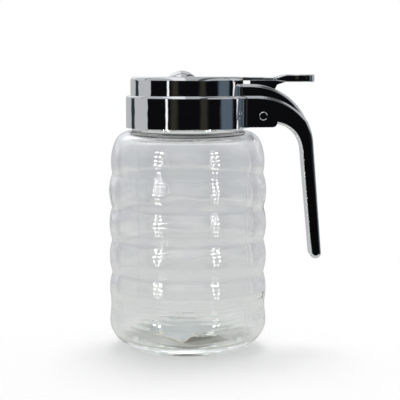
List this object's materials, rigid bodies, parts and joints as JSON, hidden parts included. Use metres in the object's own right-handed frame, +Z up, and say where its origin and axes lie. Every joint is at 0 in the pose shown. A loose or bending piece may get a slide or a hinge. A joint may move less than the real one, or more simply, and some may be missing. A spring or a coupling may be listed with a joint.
{
  "type": "ribbed glass honey dispenser jar",
  "caption": "Ribbed clear glass jar with a chromed screw cap, a drop handle and a thumb lever that slides a pour gate on the cap's top.",
  "frame": {"origin": "on the jar's axis, at the surface that the jar stands on", "axes": "+Z up the jar's axis, +X towards the handle, -X towards the side that pours"},
  "size_m": [0.0976, 0.0724, 0.1285],
  "materials": {
    "glass": "clear pressed glass, gloss",
    "chrome_cap": "bright chrome plate",
    "chrome_handle": "bright chrome plate",
    "steel_pin": "bright chrome plate",
    "chrome_gate": "bright chrome plate",
    "paper": "blank matte paper"
  },
  "bodies": {
    "jar_body": {"glass_jar": "glass", "cap": "chrome_cap", "handle": "chrome_handle", "cross_pin": "steel_pin", "paper_slip": "paper"},
    "gate": {"thumb_gate": "chrome_gate"}
  },
  "joints": [
    {"name": "gate_slide", "type": "slide", "parent": "jar_body", "child": "gate", "axis": [1, 0, 0], "range_m": [0, 0.011], "stiffness_N_per_m": 250, "springref_m": -0.004}
  ]
}
